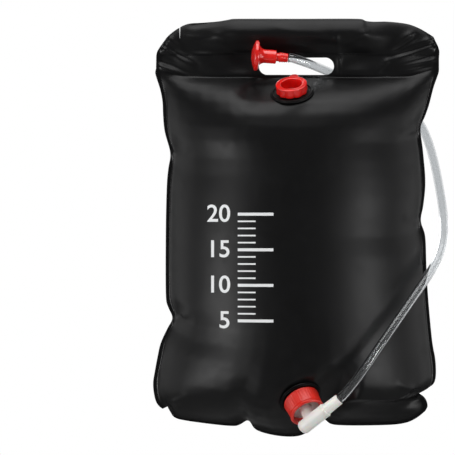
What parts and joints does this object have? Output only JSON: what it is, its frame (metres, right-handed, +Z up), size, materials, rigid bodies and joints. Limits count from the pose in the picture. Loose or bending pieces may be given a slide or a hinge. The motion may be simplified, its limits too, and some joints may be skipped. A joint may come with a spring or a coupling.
{
  "type": "camp shower bag",
  "caption": "Flat welded water bag with a filler cap, an outlet elbow and a clear hose that ends in a push-pull shower head, hung from a tube in its top hem.",
  "frame": {"origin": "on the axis of the tube in the top hem, half way along the bag's width, where the hanging line passes", "axes": "+X to the bag's right as seen from the front, -Y out of the front sheet, +Z up, from the outlet to the hem"},
  "size_m": [0.4253, 0.179, 0.5978],
  "materials": {
    "black_pvc": "satin black PVC sheet",
    "tube_plastic": "extruded black plastic",
    "neck_pvc": "moulded black PVC",
    "pale_seal": "pale translucent seal",
    "black_seal": "black seal",
    "red_plastic": "moulded red plastic",
    "white_nylon": "natural white moulding",
    "clear_hose": "clear PVC hose"
  },
  "bodies": {
    "bag": {"front_sheet": "black_pvc", "back_sheet": "black_pvc", "handle_tube": "tube_plastic", "filler_neck": "neck_pvc", "outlet_neck": "neck_pvc", "outlet_gasket": "black_seal", "hose": "clear_hose", "head_stem": "red_plastic", "head_ring": "black_seal"},
    "cap_lift": {"filler_gasket": "pale_seal"},
    "cap": {"filler_cap": "red_plastic"},
    "collar_lift": {"collar_washer": "pale_seal"},
    "collar": {"outlet_collar": "red_plastic"},
    "elbow": {"elbow": "white_nylon"},
    "head": {"head_bell": "red_plastic", "head_rose": "red_plastic"}
  },
  "joints": [
    {"name": "cap_rise", "type": "slide", "parent": "bag", "child": "cap_lift", "axis": [-0.1, -0.5051, 0.8572], "range_m": [0, 0.008]},
    {"name": "cap_turn", "type": "hinge", "parent": "cap_lift", "child": "cap", "pos_m": [-0.00771, -0.038, -0.0965], "axis": [-0.1, -0.5051, 0.8572], "range_deg": [0, 720]},
    {"name": "collar_rise", "type": "slide", "parent": "bag", "child": "collar_lift", "axis": [0.3497, -0.6494, -0.6753], "range_m": [0, 0.004]},
    {"name": "collar_turn", "type": "hinge", "parent": "collar_lift", "child": "collar", "pos_m": [0.003, -0.052, -0.527], "axis": [0.3497, -0.6494, -0.6753], "range_deg": [0, 360]},
    {"name": "elbow_swivel", "type": "hinge", "parent": "bag", "child": "elbow", "pos_m": [0.003, -0.052, -0.527], "axis": [0.3497, -0.6494, -0.6753], "range_deg": [-15, 30], "deforming": ["hose"]},
    {"name": "head_slide", "type": "slide", "parent": "bag", "child": "head", "axis": [-0.9971, -0.0301, 0.0701], "range_m": [-0.0037, 0.0013]}
  ],
  "couplings": [
    {"joint": "cap_rise", "follows": "cap_turn", "m_per_rad": 0.00063662},
    {"joint": "collar_rise", "follows": "collar_turn", "m_per_rad": 0.00063662}
  ]
}
